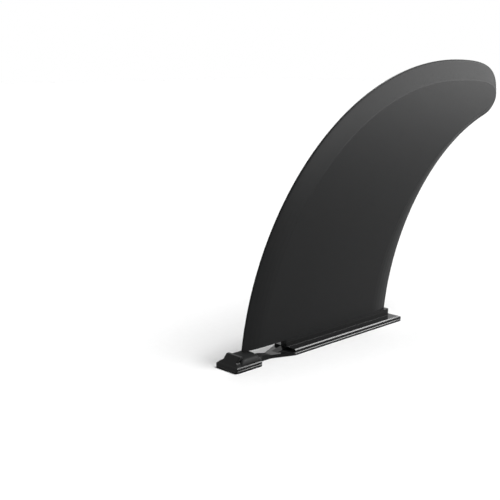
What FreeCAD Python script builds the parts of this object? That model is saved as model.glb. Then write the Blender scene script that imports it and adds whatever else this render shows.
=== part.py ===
import FreeCAD, Part
import math
import os

import Sketcher

# Slide-in kayak skeg, moulded in one piece of black plastic.
# X runs from the latch tab at the front to the heel, Y across the base, Z up the blade.
# The origin is on the flat underside, on the centre plane, at the front of the latch tab.

sizes = {
    # Base: a flat plate whose wings slide under the lips of the hull's fin box
    "baseLength": 214.9,
    "wingWidth": 25.4,
    "wingThickness": 5.0,
    "wingFront": 68.0,
    "wingCornerRadius": 2.4,
    "sideBevel": 0.8,
    "ledgeHeight": 1.6,
    "ledgeDepth": 0.4,
    "leadInRadius": 3.8,
    # Rail: the upright foot that passes through the slot of the fin box
    "railFront": 66.5,
    "railRear": 207.1,
    "railTop": 11.5,
    "railThickness": 6.5,
    "railHeelRadius": 1.4,
    "railRootRadius": 0.4,
    "gussetFront": 55.0,
    "gussetTop": 5.2,
    # Latch: a springy tongue in front of the rail, with a tab that snaps into the fin box
    "tongueThickness": 3.0,
    "neckWidth": 8.0,
    "neckRear": 47.5,
    "neckCornerRadius": 3.0,
    "flareCornerRadius": 9.0,
    "tabLength": 29.3,
    "tabCornerRadius": 2.2,
    "tabSide": 3.6,
    "tabCrown": 8.9,
    "tabShoulder": 21.0,
    "tabHeel": 5.9,
    # Catch: the raised hook on the tab
    "catchWidth": 16.0,
    "catchFront": 1.4,
    "catchToe": 3.9,
    "crestFront": 7.8,
    "crestRear": 10.2,
    "crestTop": 11.4,
    "catchStep": 13.0,
    "catchEdgeRadius": 1.0,
    # Blade outline: pulls are the lengths of the curves' handles, rakes their slopes
    "leadFoot": 17.2,
    "leadRake": 82.0,
    "leadPull": 128.0,
    "peakReach": 306.0,
    "bladeDepth": 230.6,
    "peakPull": 157.0,
    "peakTipPull": 64.0,
    "noseReach": 382.9,
    "noseHeight": 194.0,
    "nosePull": 26.0,
    "noseLowerPull": 4.0,
    "trailTipReach": 363.0,
    "trailTipHeight": 175.5,
    "trailTipRake": 17.0,
    "trailTipPull": 14.0,
    "trailUpperPull": 96.0,
    "trailFoot": 203.2,
    "trailRake": 82.7,
    "trailPull": 76.5,
    # Foil: flat flanks that bevel down to a narrow edge all round
    "peakThickness": 4.6,
    "edgeThickness": 2.4,
    "edgeFlat": 0.4,
    "edgeRound": 2.2,
    "leadBevel": 21.0,
    "peakBevel": 20.2,
    "noseBevel": 4.0,
    "trailTipBevel": 5.0,
    "trailBevel": 22.0,
}

# A handle shortens by this share of the distance that its curve is set in
pullShare = 0.7
# How the blade's edge rounds off, as shares of its depth and of its rise from the flat
edgeShape = [(0.00, 0.00), (0.15, 0.40), (0.50, 0.75), (1.00, 1.00)]
# How the bevel rises to the flank, as shares of its width, of its rise at the foot and of its rise at
# the peak. At the foot it rounds off into the flank, and at the peak it ends in a small step.
bevelShape = [
    (0.25, 0.44, 0.23),
    (0.50, 0.75, 0.46),
    (0.75, 0.94, 0.69),
    (0.93, 0.99, 0.85),
    (1.00, 1.00, 1.00),
]
# Slack for finding edges by where they lie
near = 0.01


class Measure:
    """A length or an angle, with the formula that ties it to the sheet."""

    def __init__(self, value, formula):
        self.value = value
        self.formula = formula

    def join(self, sign, other, value):
        return Measure(value, f"( {self.formula} {sign} {measure(other).formula} )")

    def __add__(self, other):
        return self.join("+", other, self.value + measure(other).value)

    def __sub__(self, other):
        return self.join("-", other, self.value - measure(other).value)

    def __mul__(self, other):
        return self.join("*", other, self.value * measure(other).value)

    def __truediv__(self, other):
        return self.join("/", other, self.value / measure(other).value)


def measure(thing):
    return thing if isinstance(thing, Measure) else Measure(thing, str(thing))


def along(angle):
    return Measure(math.cos(math.radians(angle.value)), f"cos( {angle.formula} * 1deg )")


def upward(angle):
    return Measure(math.sin(math.radians(angle.value)), f"sin( {angle.formula} * 1deg )")


doc = FreeCAD.newDocument("KayakSkeg")
sheet = doc.addObject("Spreadsheet::Sheet", "Sizes")
for row, (name, value) in enumerate(sizes.items(), start=1):
    sheet.set(f"A{row}", name)
    sheet.set(f"B{row}", str(value))
    sheet.setAlias(f"B{row}", name)
doc.recompute()
size = {name: Measure(value, f"Sizes.{name}") for name, value in sizes.items()}
zero = measure(0)

body = doc.addObject("PartDesign::Body", "skeg")
body.Label = "skeg"


def newSketch(name, role, owner=body):
    sketch = owner.newObject("Sketcher::SketchObject", name)
    plane = next(plane for plane in owner.Origin.OriginFeatures if plane.Role == role)
    sketch.AttachmentSupport = [(plane, "")]
    sketch.MapMode = "FlatFace"
    return sketch


def spot(corner):
    return FreeCAD.Vector(corner[0].value, corner[1].value, 0)


def pin(sketch, curve, point, corner):
    """Holds a point of a curve at its corner, measured from the sketch's origin."""
    for kind, distance in zip(("DistanceX", "DistanceY"), corner):
        constraint = Sketcher.Constraint(kind, -1, 1, curve, point, distance.value)
        number = sketch.addConstraint(constraint)
        sketch.setExpression(f"Constraints[{number}]", distance.formula)


def polyline(sketch, corners):
    """Straight lines from corner to corner, and the numbers of the first and last."""
    numbers = []
    for start, end in zip(corners, corners[1:]):
        numbers.append(sketch.addGeometry(Part.LineSegment(spot(start), spot(end)), False))
        pin(sketch, numbers[-1], 1, start)
    for line, following in zip(numbers, numbers[1:]):
        sketch.addConstraint(Sketcher.Constraint("Coincident", line, 2, following, 1))
    return numbers[0], numbers[-1]


def polygon(sketch, corners):
    first, last = polyline(sketch, corners + corners[:1])
    sketch.addConstraint(Sketcher.Constraint("Coincident", last, 2, first, 1))


def bothSides(corners):
    """The corners of one side, and then those of the other in turning order."""
    return corners + [(reach, zero - side) for reach, side in reversed(corners)]


def pad(name, sketch, length, midplane=True):
    feature = sketch.getParentGeoFeatureGroup().newObject("PartDesign::Pad", name)
    feature.Profile = sketch
    feature.Midplane = midplane
    feature.setExpression("Length", length.formula)
    doc.recompute()
    return feature


def cutThrough(name, sketch, reach=size["baseLength"]):
    """Cuts an outline away as far as reach to either side of its plane."""
    feature = sketch.getParentGeoFeatureGroup().newObject("PartDesign::Pocket", name)
    feature.Profile = sketch
    feature.Midplane = True
    feature.setExpression("Length", (reach * 2).formula)
    doc.recompute()
    if feature.Shape.Volume >= feature.BaseFeature.Shape.Volume:
        raise RuntimeError(f"{name} cuts nothing")


def roundEdges(name, radius, chosen, owner=body):
    """Fillets the edges of a body so far for which chosen is true."""
    base = owner.Tip
    names = [f"Edge{number}" for number, edge in enumerate(base.Shape.Edges, start=1) if chosen(edge)]
    if not names:
        raise RuntimeError(f"{name} finds no edge")
    feature = owner.newObject("PartDesign::Fillet", name)
    feature.Base = (base, names)
    feature.setExpression("Radius", radius.formula)
    doc.recompute()


def upright(places, side):
    """Tests for upright edges at places along X and a distance to either side."""
    def chosen(edge):
        box = edge.BoundBox
        straight = box.XLength < near and box.YLength < near
        beside = abs(abs(box.Center.y) - side.value) < near
        return straight and beside and any(abs(box.Center.x - place.value) < near for place in places)
    return chosen


# Base plate in plan: tab, neck, flare and wings
wingSide = size["wingWidth"] / 2
neckSide = size["neckWidth"] / 2
basePlan = newSketch("BasePlan", "XY_Plane")
polygon(basePlan, bothSides([
    (zero, wingSide),
    (size["tabLength"], wingSide),
    (size["tabLength"], neckSide),
    (size["neckRear"], neckSide),
    (size["wingFront"], wingSide),
    (size["baseLength"], wingSide),
]))
pad("BasePlate", basePlan, size["wingThickness"], midplane=False)
roundEdges("TabCorners", size["tabCornerRadius"], upright([zero, size["tabLength"]], wingSide))
roundEdges("WingCorners", size["wingCornerRadius"], upright([size["baseLength"]], wingSide))
roundEdges("NeckCorners", size["neckCornerRadius"], upright([size["tabLength"]], neckSide))
roundEdges("FlareCorners", size["flareCornerRadius"], upright([size["neckRear"]], neckSide))

# The tongue is thinner than the wings, so that it can bend
tongueRelief = newSketch("TongueRelief", "XZ_Plane")
polygon(tongueRelief, [
    (size["tabLength"], size["tongueThickness"]),
    (size["wingFront"], size["tongueThickness"]),
    (size["wingFront"], size["wingThickness"] * 2),
    (size["tabLength"], size["wingThickness"] * 2),
])
cutThrough("TongueTop", tongueRelief)


def roundTop(name, radius, end, middle, firstAngle, top, low):
    """Rounds the top of the base at one end, with a straight cut.

    The quarter round about middle starts at firstAngle, and its ends are top and low.
    """
    sketch = newSketch(name + "Profile", "XZ_Plane")
    level = size["wingThickness"]
    centre = (middle, level - radius)
    circle = Part.Circle(spot(centre), FreeCAD.Vector(0, 0, 1), radius.value)
    quarter = Part.ArcOfCircle(circle, math.radians(firstAngle), math.radians(firstAngle + 90))
    arc = sketch.addGeometry(quarter, False)
    pin(sketch, arc, 3, centre)
    sketch.addConstraint(Sketcher.Constraint("Horizontal", arc, low, arc, 3))
    outside = end * 2 - middle
    first, last = polyline(sketch, [
        (middle, level),
        (middle, level * 2),
        (outside, level * 2),
        (outside, level - radius),
        (end, level - radius),
    ])
    sketch.addConstraint(Sketcher.Constraint("Coincident", first, 1, arc, top))
    sketch.addConstraint(Sketcher.Constraint("Coincident", last, 2, arc, low))
    cutThrough(name, sketch)


# Both ends of the base are rounded for an easy entry
leadIn = size["leadInRadius"]
roundTop("TabLeadIn", leadIn, zero, leadIn, 90, 1, 2)
roundTop("HeelLeadIn", leadIn, size["baseLength"], size["baseLength"] - leadIn, 0, 2, 1)

# The sides step in at a sloped ledge, where the two halves of the mould meet, and end in a bevel
bevel = size["sideBevel"]
ledge = size["ledgeDepth"]
wallSide = wingSide - ledge
wallFoot = size["ledgeHeight"] + ledge
wingWalls = newSketch("WingWallsProfile", "YZ_Plane")
for side in (measure(1), measure(-1)):
    polygon(wingWalls, [
        (side * wallSide, wallFoot),
        (side * wingSide, size["ledgeHeight"]),
        (side * (wingSide + bevel), size["ledgeHeight"]),
        (side * (wingSide + bevel), size["wingThickness"] + bevel),
        (side * (wallSide - bevel), size["wingThickness"] + bevel),
        (side * (wallSide - bevel), size["wingThickness"]),
        (side * wallSide, size["wingThickness"] - bevel),
    ])
cutThrough("WingWalls", wingWalls)


def archTop(name, owner):
    """Cuts the tab, or a body on it, down to an arch across its width, with the walls of the wings."""
    sketch = newSketch(name + "Profile", "YZ_Plane", owner)
    archSide = wallSide - bevel
    archFoot = size["tabSide"] + bevel
    archRise = size["tabCrown"] - archFoot
    radius = (archSide * archSide + archRise * archRise) / (archRise * 2)
    first, last = polyline(sketch, [
        (archSide, archFoot),
        (wallSide, size["tabSide"]),
        (wallSide, wallFoot),
        (wingSide, size["ledgeHeight"]),
        (wingSide * 2, size["ledgeHeight"]),
        (wingSide * 2, size["crestTop"]),
        (zero - wingSide * 2, size["crestTop"]),
        (zero - wingSide * 2, size["ledgeHeight"]),
        (zero - wingSide, size["ledgeHeight"]),
        (zero - wallSide, wallFoot),
        (zero - wallSide, size["tabSide"]),
        (zero - archSide, archFoot),
    ])
    pin(sketch, last, 2, (zero - archSide, archFoot))
    circle = Part.Circle(spot((zero, size["tabCrown"] - radius)), FreeCAD.Vector(0, 0, 1), radius.value)
    half = math.asin(archSide.value / radius.value)
    arc = sketch.addGeometry(Part.ArcOfCircle(circle, math.pi / 2 - half, math.pi / 2 + half), False)
    sketch.addConstraint(Sketcher.Constraint("Coincident", arc, 1, first, 1))
    sketch.addConstraint(Sketcher.Constraint("Coincident", arc, 2, last, 2))
    number = sketch.addConstraint(Sketcher.Constraint("Radius", arc, radius.value))
    sketch.setExpression(f"Constraints[{number}]", radius.formula)
    cutThrough(name, sketch, size["tabLength"])


archTop("TabSides", body)

# Rail, with the gusset that stiffens the root of the tongue
railProfile = newSketch("RailProfile", "XZ_Plane")
polygon(railProfile, [
    (size["gussetFront"], zero),
    (size["railRear"], zero),
    (size["railRear"], size["railTop"]),
    (size["railFront"], size["railTop"]),
    (size["railFront"], size["gussetTop"]),
    (size["gussetFront"], size["tongueThickness"]),
])
pad("Rail", railProfile, size["railThickness"])
roundEdges("RailHeel", size["railHeelRadius"], upright([size["railRear"]], size["railThickness"] / 2))

# Tab: an arched top for the thumb, which rounds down to the heel of the tab
slopeShare = (size["tabCrown"] - size["catchToe"]) / (size["crestTop"] - size["catchToe"])
domeFront = size["catchFront"] + (size["crestFront"] - size["catchFront"]) * slopeShare
domeBody = doc.addObject("PartDesign::Body", "Dome")
domeProfile = newSketch("DomeProfile", "XZ_Plane", domeBody)
first, last = polyline(domeProfile, [
    (size["tabLength"], size["tabHeel"]),
    (size["tabLength"], zero),
    (size["catchFront"], zero),
    (size["catchFront"], size["catchToe"]),
    (domeFront, size["tabCrown"]),
    (size["tabShoulder"], size["tabCrown"]),
])
pin(domeProfile, last, 2, (size["tabShoulder"], size["tabCrown"]))
run = sizes["tabLength"] - sizes["tabShoulder"]
drop = sizes["tabCrown"] - sizes["tabHeel"]
shoulderRadius = (run ** 2 + drop ** 2) / (2 * drop)
shoulderCentre = FreeCAD.Vector(sizes["tabShoulder"], sizes["tabCrown"] - shoulderRadius, 0)
shoulder = Part.ArcOfCircle(Part.Circle(shoulderCentre, FreeCAD.Vector(0, 0, 1), shoulderRadius),
                            math.acos(run / shoulderRadius), math.pi / 2)
arc = domeProfile.addGeometry(shoulder, False)
domeProfile.addConstraint(Sketcher.Constraint("Coincident", arc, 1, first, 1))
domeProfile.addConstraint(Sketcher.Constraint("Tangent", arc, 2, last, 2))
pad("DomeBlock", domeProfile, size["wingWidth"])
domeEnds = [size["catchFront"], size["tabLength"]]
roundEdges("DomeCorners", size["tabCornerRadius"], upright(domeEnds, wingSide), domeBody)
archTop("DomeArch", domeBody)

# Catch on the tab: a slope up to the crest and a step down to the arch.
# It is a body of its own, so that its edges are rounded before the tab covers their ends.
catchBody = doc.addObject("PartDesign::Body", "Catch")
catchProfile = newSketch("CatchProfile", "XZ_Plane", catchBody)
polygon(catchProfile, [
    (size["catchStep"], zero),
    (size["catchFront"], zero),
    (size["catchFront"], size["catchToe"]),
    (size["crestFront"], size["crestTop"]),
    (size["crestRear"], size["crestTop"]),
    (size["catchStep"], size["tabCrown"]),
])
pad("CatchBlock", catchProfile, size["catchWidth"])


def beside(edge, side):
    """An edge that stays at one distance to either side of the centre plane."""
    box = edge.BoundBox
    return box.YLength < near and abs(abs(box.Center.y) - side.value) < near


roundEdges("CatchEdges", size["catchEdgeRadius"], lambda edge: beside(edge, size["catchWidth"] / 2)
           and edge.BoundBox.ZMax > sizes["wingThickness"] + near, catchBody)
joined = body.newObject("PartDesign::Boolean", "JoinCatch")
joined.Type = "Fuse"
joined.setObjects([domeBody, catchBody])
doc.recompute()


def bladeSketch(name, lead, peak, nose, trailTip, trail):
    """Blade outline from four curves, each side set in by its own distance.

    Heights are measured from the blade's foot.
    """
    sketch = newSketch(name, "XZ_Plane")
    leadFoot = (size["leadFoot"] + lead, zero)
    leadPull = size["leadPull"] - lead * pullShare
    leadHandle = (leadFoot[0] + along(size["leadRake"]) * leadPull, upward(size["leadRake"]) * leadPull)
    top = (size["peakReach"], size["bladeDepth"] - peak)
    topHandle = (top[0] - size["peakPull"] + peak * pullShare, top[1])
    tipHandle = (top[0] + size["peakTipPull"] - nose * pullShare, top[1])
    tip = (size["noseReach"] - nose, size["noseHeight"])
    noseHandle = (tip[0], tip[1] + size["nosePull"] - peak * pullShare)
    lowerHandle = (tip[0], tip[1] - size["noseLowerPull"])
    slope = (along(size["trailTipRake"]), upward(size["trailTipRake"]))
    under = (size["trailTipReach"] - slope[1] * trailTip, size["trailTipHeight"] + slope[0] * trailTip)
    underHandle = (under[0] + slope[0] * size["trailTipPull"], under[1] + slope[1] * size["trailTipPull"])
    upperPull = size["trailUpperPull"]
    upperHandle = (under[0] - slope[0] * upperPull, under[1] - slope[1] * upperPull)
    trailFoot = (size["trailFoot"] - trail, zero)
    footHandle = (trailFoot[0] + along(size["trailRake"]) * size["trailPull"],
                  upward(size["trailRake"]) * size["trailPull"])
    curves = [
        [leadFoot, leadHandle, topHandle, top],
        [top, tipHandle, noseHandle, tip],
        [tip, lowerHandle, underHandle, under],
        [under, upperHandle, footHandle, trailFoot],
    ]
    numbers = [cubic(sketch, poles) for poles in curves]
    for curve, following in zip(numbers, numbers[1:]):
        sketch.addConstraint(Sketcher.Constraint("Coincident", curve, 2, following, 1))
    foot = sketch.addGeometry(Part.LineSegment(spot(trailFoot), spot(leadFoot)), False)
    sketch.addConstraint(Sketcher.Constraint("Coincident", numbers[-1], 2, foot, 1))
    sketch.addConstraint(Sketcher.Constraint("Coincident", foot, 2, numbers[0], 1))
    return sketch


def cubic(sketch, poles):
    """A cubic curve whose poles are pinned, apart from the last of a joined curve."""
    curve = Part.BSplineCurve()
    curve.buildFromPolesMultsKnots([spot(pole) for pole in poles], [4, 4], [0, 1], False, 3)
    number = sketch.addGeometry(curve, False)
    for place, pole in enumerate(poles):
        handle = sketch.addGeometry(Part.Circle(spot(pole), FreeCAD.Vector(0, 0, 1), 1), True)
        sketch.addConstraint(Sketcher.Constraint("Weight", handle, 1.0))
        sketch.addConstraint(Sketcher.Constraint(
            "InternalAlignment:Sketcher::BSplineControlPoint", handle, 3, number, place))
        if place < len(poles) - 1 or pole[1] is zero:
            pin(sketch, handle, 3, pole)
    return number


def standOnRail(sketch, apart, lean):
    """Moves a blade sketch up to the rail's top and apart from the centre plane, leaning inwards."""
    turn = FreeCAD.Rotation(FreeCAD.Vector(1, 0, 0), -math.degrees(math.atan(lean.value)))
    sketch.AttachmentOffset = FreeCAD.Placement(FreeCAD.Vector(0, sizes["railTop"], apart.value), turn)
    sketch.setExpression("AttachmentOffset.Base.y", size["railTop"].formula)
    sketch.setExpression("AttachmentOffset.Base.z", apart.formula)
    if lean is not zero:
        sketch.setExpression("AttachmentOffset.Rotation.Angle", f"- atan( {lean.formula} )")


# Blade: a thin blank of the full outline, and on each side a flank with a rounded edge and a bevel
blankOutline = bladeSketch("BlankOutline", zero, zero, zero, zero, zero)
standOnRail(blankOutline, zero, zero)
pad("BladeBlank", blankOutline, size["edgeFlat"])
sections = []
for step, (depth, rise) in enumerate(edgeShape):
    inset = size["edgeRound"] * depth
    sections.append(bladeSketch(f"FlankEdge{step}", inset, inset, inset, inset, inset))
    apart = size["edgeFlat"] + (size["edgeThickness"] - size["edgeFlat"]) * rise
    standOnRail(sections[-1], apart / 2, zero)


def across(thickness, share):
    """How far the bevel stands from the centre plane at a share of its rise to a thickness."""
    return (size["edgeThickness"] + (thickness - size["edgeThickness"]) * share) / 2


bevelNames = ["leadBevel", "peakBevel", "noseBevel", "trailTipBevel", "trailBevel"]
for step, (width, footRise, peakRise) in enumerate(bevelShape, start=1):
    insets = [size["edgeRound"] + (size[name] - size["edgeRound"]) * width for name in bevelNames]
    sections.append(bladeSketch(f"FlankBevel{step}", *insets))
    foot = across(size["railThickness"], footRise)
    peak = across(size["peakThickness"], peakRise)
    standOnRail(sections[-1], foot, (foot - peak) / size["bladeDepth"])
flank = body.newObject("PartDesign::AdditiveLoft", "NearFlank")
flank.Profile = sections[0]
flank.Sections = sections[1:]
flank.Ruled = True
doc.recompute()
farFlank = body.newObject("PartDesign::Mirrored", "FarFlank")
farFlank.Originals = [flank]
farFlank.MirrorPlane = (next(plane for plane in body.Origin.OriginFeatures
                             if plane.Role == "XZ_Plane"), [""])
body.Tip = farFlank
doc.recompute()


roundEdges("RailRoot", size["railRootRadius"], lambda edge: beside(edge, size["railThickness"] / 2)
           and abs(edge.BoundBox.ZMin - sizes["wingThickness"]) < near
           and edge.BoundBox.ZMax < sizes["railTop"])

for item in doc.Objects:
    if "Invalid" in item.State or "Error" in item.State:
        raise RuntimeError(f"{item.Name} failed")
if body.Shape.isNull() or not body.Shape.isValid():
    raise RuntimeError("the skeg is not a sound solid")

os.makedirs("parts", exist_ok=True)
body.Shape.exportStep(f"parts/{body.Label}.step")
print(f"skeg: {body.Shape.Volume / 1000:.1f} cm3, box {body.Shape.BoundBox}")
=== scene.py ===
import math

import bmesh
import bpy
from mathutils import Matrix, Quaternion, Vector


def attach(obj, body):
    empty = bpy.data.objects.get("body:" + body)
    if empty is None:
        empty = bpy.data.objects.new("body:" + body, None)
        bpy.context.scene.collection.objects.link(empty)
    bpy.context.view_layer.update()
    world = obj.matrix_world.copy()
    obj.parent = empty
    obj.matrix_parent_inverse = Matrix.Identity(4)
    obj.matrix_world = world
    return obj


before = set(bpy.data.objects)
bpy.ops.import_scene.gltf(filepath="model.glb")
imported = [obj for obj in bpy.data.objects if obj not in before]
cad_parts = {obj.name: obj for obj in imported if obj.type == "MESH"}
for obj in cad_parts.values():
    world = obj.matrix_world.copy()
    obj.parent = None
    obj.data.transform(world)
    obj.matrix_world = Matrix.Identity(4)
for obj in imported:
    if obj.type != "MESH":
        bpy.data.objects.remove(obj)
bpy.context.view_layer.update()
print("frame loaded")

millimetre = 0.001


def linearColour(code, alpha=1.0):
    # sRGB hex to the linear colour that shaders work in
    channels = [int(code[place:place + 2], 16) / 255 for place in (1, 3, 5)]
    linear = [c / 12.92 if c <= 0.04045 else ((c + 0.055) / 1.055) ** 2.4 for c in channels]
    return (*linear, alpha)


def addNode(tree, kind, settings=None, inputs=None):
    # one node, with its settings, and its inputs set to values or linked from sockets
    node = tree.nodes.new(kind)
    for name, value in (settings or {}).items():
        setattr(node, name, value)
    for name, value in (inputs or {}).items():
        if isinstance(value, bpy.types.NodeSocket):
            tree.links.new(value, node.inputs[name])
        else:
            node.inputs[name].default_value = value
    return node


def newMaterial(name):
    material = bpy.data.materials.new(name)
    material.use_nodes = True
    material.node_tree.nodes.clear()
    return material, material.node_tree


# Skeg: one moulding of black glass-filled nylon. Its lengths are in mm.
skeg = {
    "colour": "#08090a",
    "paleColour": "#0e0f10",     # where the resin flow left the skin a little greyer
    "flowSize": 70,              # between flow marks
    "roughness": 0.34,           # spark-eroded blade faces
    "roughnessSpread": 0.05,
    "baseRoughness": 0.12,       # polished walls and bevels of the wings, tongue and tab
    "topTilt": (0.80, 0.97),     # how far up a face looks, from a wall to a top
    "topRoughness": 0.80,        # tops of the tongue and tab, left as eroded
    "slideRoughness": 0.14,      # tops of the flare and wings, which slide under the fin box's lips
    "slideFront": 46,            # where the flare starts
    "slideBlend": 3,
    "finishLine": 11.2,          # height at which the blade's satin starts
    "finishBlend": 0.6,
    "grain": 1.4,                # real spark grain of 0.1 mm is too fine to show
    "grainDepth": 0.012,
    "waveSize": 55,              # between shallow sink marks
    "waveDepth": 0.05,
    "ior": 1.52,
    "specular": 0.13,            # the satin skin scatters most of what a clear gloss would mirror
}


def nylonMaterial(look):
    # Black glass-filled nylon, injection moulded: a satin skin from the spark-eroded mould on the blade,
    # a tight gloss on the base's walls and sliding tops, where the mould is polished, so that their
    # edges flash, and matt tops on the tongue and tab
    material, tree = newMaterial("mouldedBlackNylon")
    place = addNode(tree, "ShaderNodeTexCoord").outputs["Object"]
    axes = addNode(tree, "ShaderNodeSeparateXYZ", inputs={"Vector": place}).outputs

    flow = addNode(tree, "ShaderNodeTexNoise", inputs={
        "Vector": place, "Scale": 1 / (look["flowSize"] * millimetre), "Detail": 3.0, "Roughness": 0.55})
    colour = addNode(tree, "ShaderNodeMix", {"data_type": "RGBA"}, {
        "Factor": flow.outputs["Fac"],
        "A": linearColour(look["colour"]), "B": linearColour(look["paleColour"])})

    grain = addNode(tree, "ShaderNodeTexNoise", inputs={
        "Vector": place, "Scale": 1 / (look["grain"] * millimetre), "Detail": 2.0, "Roughness": 0.6})
    blade = addNode(tree, "ShaderNodeMapRange", {"interpolation_type": "SMOOTHSTEP"}, {
        "Value": axes["Z"],
        "From Min": (look["finishLine"] - look["finishBlend"]) * millimetre,
        "From Max": (look["finishLine"] + look["finishBlend"]) * millimetre})
    satin = addNode(tree, "ShaderNodeMapRange", inputs={
        "Value": grain.outputs["Fac"], "From Min": 0.3, "From Max": 0.7,
        "To Min": look["roughness"] - look["roughnessSpread"],
        "To Max": look["roughness"] + look["roughnessSpread"]})
    slide = addNode(tree, "ShaderNodeMapRange", {"interpolation_type": "SMOOTHSTEP"}, {
        "Value": axes["X"], "From Min": look["slideFront"] * millimetre,
        "From Max": (look["slideFront"] + look["slideBlend"]) * millimetre})
    top = addNode(tree, "ShaderNodeMix", {"data_type": "FLOAT"}, {
        "Factor": slide.outputs["Result"], "A": look["topRoughness"], "B": look["slideRoughness"]})
    facing = addNode(tree, "ShaderNodeNewGeometry").outputs["Normal"]
    tilt = addNode(tree, "ShaderNodeSeparateXYZ", inputs={"Vector": facing}).outputs["Z"]
    base = addNode(tree, "ShaderNodeMapRange", {"interpolation_type": "SMOOTHSTEP"}, {
        "Value": tilt,
        "From Min": look["topTilt"][0], "From Max": look["topTilt"][1],
        "To Min": look["baseRoughness"], "To Max": top.outputs["Result"]})
    roughness = addNode(tree, "ShaderNodeMix", {"data_type": "FLOAT"}, {
        "Factor": blade.outputs["Result"], "A": base.outputs["Result"], "B": satin.outputs["Result"]})

    wave = addNode(tree, "ShaderNodeTexNoise", inputs={
        "Vector": place, "Scale": 1 / (look["waveSize"] * millimetre), "Detail": 1.0})
    sink = addNode(tree, "ShaderNodeBump", inputs={
        "Height": wave.outputs["Fac"], "Distance": look["waveDepth"] * millimetre})
    texture = addNode(tree, "ShaderNodeBump", inputs={
        "Height": grain.outputs["Fac"], "Strength": blade.outputs["Result"],
        "Distance": look["grainDepth"] * millimetre, "Normal": sink.outputs["Normal"]})

    shader = addNode(tree, "ShaderNodeBsdfPrincipled", inputs={
        "Base Color": colour.outputs["Result"], "Roughness": roughness.outputs["Result"],
        "IOR": look["ior"], "Specular IOR Level": look["specular"],
        "Normal": texture.outputs["Normal"]})
    addNode(tree, "ShaderNodeOutputMaterial", inputs={"Surface": shader.outputs["BSDF"]})
    return material


nylon = nylonMaterial(skeg)
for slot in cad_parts["skeg"].material_slots:
    slot.material = nylon
print("skeg finished")


def addObject(mesh, name, finish):
    data = bpy.data.meshes.new(name)
    mesh.to_mesh(data)
    mesh.free()
    data.materials.append(finish)
    item = bpy.data.objects.new(name, data)
    bpy.context.scene.collection.objects.link(item)
    return item


def addMouldedPiece(mesh, name, finish):
    piece = addObject(mesh, name, finish)
    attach(piece, "root")


# Thumb pad: the tab's top is fuller than its solid's arch, with round shoulders and a round heel.
# It is part of the same moulding, and hides the arch that it covers. Sizes are in mm, from the front
# of the tab, the centre plane and the floor.
thumbPad = {
    "front": 6.6,
    "rear": 29.0,
    "side": 11.6,
    "foot": 4.2,
    "crown": 10.3,
    "ridge": 14.5,               # where the front slope reaches the top
    "slopePower": 2.2,           # how late the front slope falls away from the top
    "slopeRound": 0.6,           # 1 is a slope that ends at an angle, less is a steeper start
    "heel": 25.5,                # where the top starts to fall
    "heelHeight": 7.0,
    "shoulderPower": 2.6,        # 2 is a plain arch, more is a squarer one
    "roughness": 0.50,           # eroded all over, for grip
    "cells": 40,
}


def padHeight(look, along, across):
    # height above the floor; the rear row drops to the foot, so that the heel is closed
    rise = look["crown"] - look["foot"]
    if math.isclose(along, look["rear"], abs_tol=0.01):
        end = 0
    elif along < look["ridge"]:
        share = (look["ridge"] - along) / (look["ridge"] - look["front"])
        end = max(0, 1 - share ** look["slopePower"]) ** look["slopeRound"]
    elif along > look["heel"]:
        share = (along - look["heel"]) / (look["rear"] - look["heel"])
        drop = (look["crown"] - look["heelHeight"]) / rise
        end = 1 - drop * share ** 2
    else:
        end = 1
    power = look["shoulderPower"]
    arch = max(0, 1 - abs(across / look["side"]) ** power) ** (1 / power)
    return look["foot"] + rise * end * arch


def makeThumbPad(look, finish):
    mesh = bmesh.new()
    bmesh.ops.create_grid(mesh, x_segments=look["cells"], y_segments=look["cells"], size=1)
    middle = (look["front"] + look["rear"]) / 2
    half = (look["rear"] - look["front"]) / 2
    for vertex in mesh.verts:
        # cells are narrower towards the shoulders, where the pad is steep
        along = middle + half * math.sin(vertex.co.x * math.pi / 2)
        across = look["side"] * math.sin(vertex.co.y * math.pi / 2)
        vertex.co = Vector((along, across, padHeight(look, along, across))) * millimetre
    skin = list(mesh.faces)
    bmesh.ops.edgeloop_fill(mesh, edges=[edge for edge in mesh.edges if edge.is_boundary])
    bmesh.ops.recalc_face_normals(mesh, faces=mesh.faces)
    for face in skin:
        face.smooth = True
    addMouldedPiece(mesh, "thumb_pad", finish)


# Neck roots: the wide hollow curves in which the tab's heel runs out into the tongue, and a ramp from
# them down to it. They are part of the same moulding. Sizes are in mm, as the pad's are.
neckRoots = {
    "heel": 29.0,
    "heelSide": 11.8,
    "reach": 9.0,                # length of the curves
    "neckSide": 3.9,
    "height": 4.9,
    "rampEnd": 47.5,
    "rampFoot": 3.02,            # just above the tongue's top
    "segments": 12,
}


def makeNeckRoots(look, finish):
    mesh = bmesh.new()
    curves = []
    for side in (1, -1):
        curve = []
        for step in range(look["segments"] + 1):
            angle = step / look["segments"] * math.pi / 2
            along = look["heel"] + look["reach"] * (1 - math.cos(angle))
            across = look["heelSide"] - (look["heelSide"] - look["neckSide"]) * math.sin(angle)
            curve.append(mesh.verts.new(Vector((along, side * across, 0)) * millimetre))
        curves.append(curve)
    ends = [mesh.verts.new(Vector((look["rampEnd"], side * look["neckSide"], 0)) * millimetre)
            for side in (1, -1)]
    left, right = curves
    undersides = [mesh.faces.new((*left, *reversed(right))),
                  mesh.faces.new((left[-1], *ends, right[-1]))]
    raised = bmesh.ops.extrude_face_region(mesh, geom=undersides)["geom"]
    for corner in raised:
        if isinstance(corner, bmesh.types.BMVert):
            atEnd = math.isclose(corner.co.x, look["rampEnd"] * millimetre, abs_tol=1e-5)
            corner.co.z = (look["rampFoot"] if atEnd else look["height"]) * millimetre
    bmesh.ops.recalc_face_normals(mesh, faces=mesh.faces)
    addMouldedPiece(mesh, "neck_roots", finish)


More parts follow.
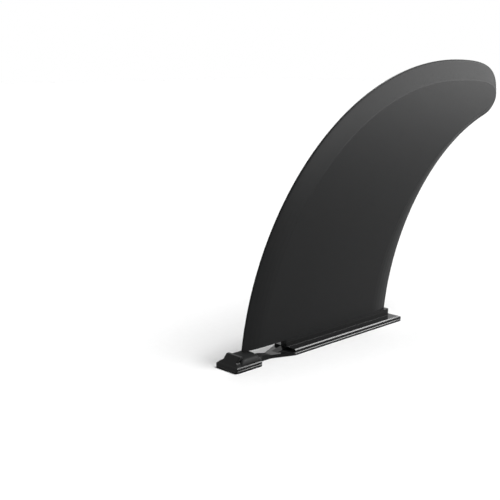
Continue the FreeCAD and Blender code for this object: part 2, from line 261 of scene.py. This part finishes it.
makeThumbPad(thumbPad, nylonMaterial({**skeg, "baseRoughness": thumbPad["roughness"]}))
makeNeckRoots(neckRoots, nylon)
print("tab finished")


# Floor: a pale sheet that keeps the soft shadow of the skeg. Its lengths are in mm.
floor = {
    "size": 16000,
    "colour": "#f1f1f1",
    "paleColour": "#f5f5f5",
    "mottle": 6,                 # between pulp clouds
}


def paperMaterial(look):
    # Matt white paper, rolled from pulp, with a faint cloudy mottle
    material, tree = newMaterial("mattWhitePaper")
    place = addNode(tree, "ShaderNodeTexCoord").outputs["Object"]
    clouds = addNode(tree, "ShaderNodeTexNoise", inputs={
        "Vector": place, "Scale": 1 / (look["mottle"] * millimetre), "Detail": 2.0})
    colour = addNode(tree, "ShaderNodeMix", {"data_type": "RGBA"}, {
        "Factor": clouds.outputs["Fac"],
        "A": linearColour(look["colour"]), "B": linearColour(look["paleColour"])})
    paper = addNode(tree, "ShaderNodeBsdfDiffuse", inputs={"Color": colour.outputs["Result"]})
    addNode(tree, "ShaderNodeOutputMaterial", inputs={"Surface": paper.outputs[0]})
    return material


def layFloor(look):
    mesh = bmesh.new()
    bmesh.ops.create_grid(mesh, x_segments=1, y_segments=1, size=look["size"] / 2 * millimetre)
    addObject(mesh, "floor", paperMaterial(look))


layFloor(floor)
print("floor laid")


# Studio: a white room, a key lamp high at the heel's side, weaker ones behind and in front of the blade,
# a strip lamp that the bevels of the base mirror, and a soft box that the blade's tip mirrors. The last
# two show only in reflections. Angles are in degrees, as seen from the skeg, and the other sizes in mm.
studio = {
    "ambient": 0.10,
    "key": {"azimuth": -14, "elevation": 62, "spread": 16, "strength": 2.0},
    "back": {"azimuth": 14, "elevation": 55, "spread": 22, "strength": 0.95},
    "front": {"azimuth": -40, "elevation": 53, "spread": 26, "strength": 1.1},
    "strip": {"azimuth": -23.1, "elevation": 38.5, "roll": -55.7, "distance": 6000,
              "width": 1250, "height": 200, "aim": (110, -12, 4), "power": 29},
    "box": {"azimuth": -38.0, "elevation": 13.9, "roll": 0, "distance": 1500,
            "width": 1200, "height": 700, "aim": (200, 0, 120), "power": 11.9},
}


def lightRoom(look):
    # the room is white to the camera and in reflections, and dimmer as a light
    world = bpy.data.worlds.new("whiteRoom")
    bpy.context.scene.world = world
    world.use_nodes = True
    tree = world.node_tree
    tree.nodes.clear()
    rays = addNode(tree, "ShaderNodeLightPath").outputs
    white = linearColour("#ffffff")
    cameraOrGlossy = addNode(tree, "ShaderNodeMath", {"operation": "MAXIMUM"},
                             {0: rays["Is Camera Ray"], 1: rays["Is Glossy Ray"]})
    seen = addNode(tree, "ShaderNodeMath", {"operation": "MAXIMUM"},
                   {0: cameraOrGlossy.outputs[0], 1: rays["Is Transmission Ray"]})
    strength = addNode(tree, "ShaderNodeMapRange", inputs={
        "Value": seen.outputs[0], "To Min": look["ambient"], "To Max": 1.0})
    room = addNode(tree, "ShaderNodeBackground",
                   inputs={"Color": white, "Strength": strength.outputs["Result"]})
    addNode(tree, "ShaderNodeOutputWorld", inputs={"Surface": room.outputs[0]})


def towardsLamp(look):
    azimuth = math.radians(look["azimuth"])
    elevation = math.radians(look["elevation"])
    return Vector((math.cos(elevation) * math.cos(azimuth),
                   math.cos(elevation) * math.sin(azimuth),
                   math.sin(elevation)))


def placeLamp(name, data, look):
    lamp = bpy.data.objects.new(name, data)
    turn = towardsLamp(look).to_track_quat("Z", "Y")
    turn.rotate(Quaternion(towardsLamp(look), math.radians(look.get("roll", 0))))
    lamp.rotation_euler = turn.to_euler()
    bpy.context.scene.collection.objects.link(lamp)
    return lamp


def addDistantLamp(name, look):
    data = bpy.data.lights.new(name, "SUN")
    data.angle = math.radians(look["spread"])
    data.energy = look["strength"]
    placeLamp(name, data, look)


def addBoxLamp(name, look):
    data = bpy.data.lights.new(name, "AREA")
    data.shape = "RECTANGLE"
    data.size = look["width"] * millimetre
    data.size_y = look["height"] * millimetre
    data.energy = look["power"]
    lamp = placeLamp(name, data, look)
    lamp.visible_diffuse = False
    lamp.location = (Vector(look["aim"]) + towardsLamp(look) * look["distance"]) * millimetre


lightRoom(studio)
addDistantLamp("keyLamp", studio["key"])
addDistantLamp("backLamp", studio["back"])
addDistantLamp("frontLamp", studio["front"])
addBoxLamp("stripLamp", studio["strip"])
addBoxLamp("softBox", studio["box"])
bpy.context.scene.view_settings.view_transform = "Standard"
print("studio lit")


# Camera: set back to the front left of the skeg and looking down on it. Place and lens are in mm.
view = {
    "place": (-458.28, -498.35, 241.44),
    "pitch": 11.96,
    "turn": -44.23,
    "lens": 64.56,
}
cameraData = bpy.data.cameras.new("photoView")
cameraData.lens = view["lens"]
cameraData.sensor_width = 36
cameraData.clip_start = 0.01
camera = bpy.data.objects.new("photoView", cameraData)
camera.location = Vector(view["place"]) * millimetre
camera.rotation_euler = (math.radians(90 - view["pitch"]), 0, math.radians(view["turn"]))
bpy.context.scene.collection.objects.link(camera)
bpy.context.scene.camera = camera
print("camera placed")
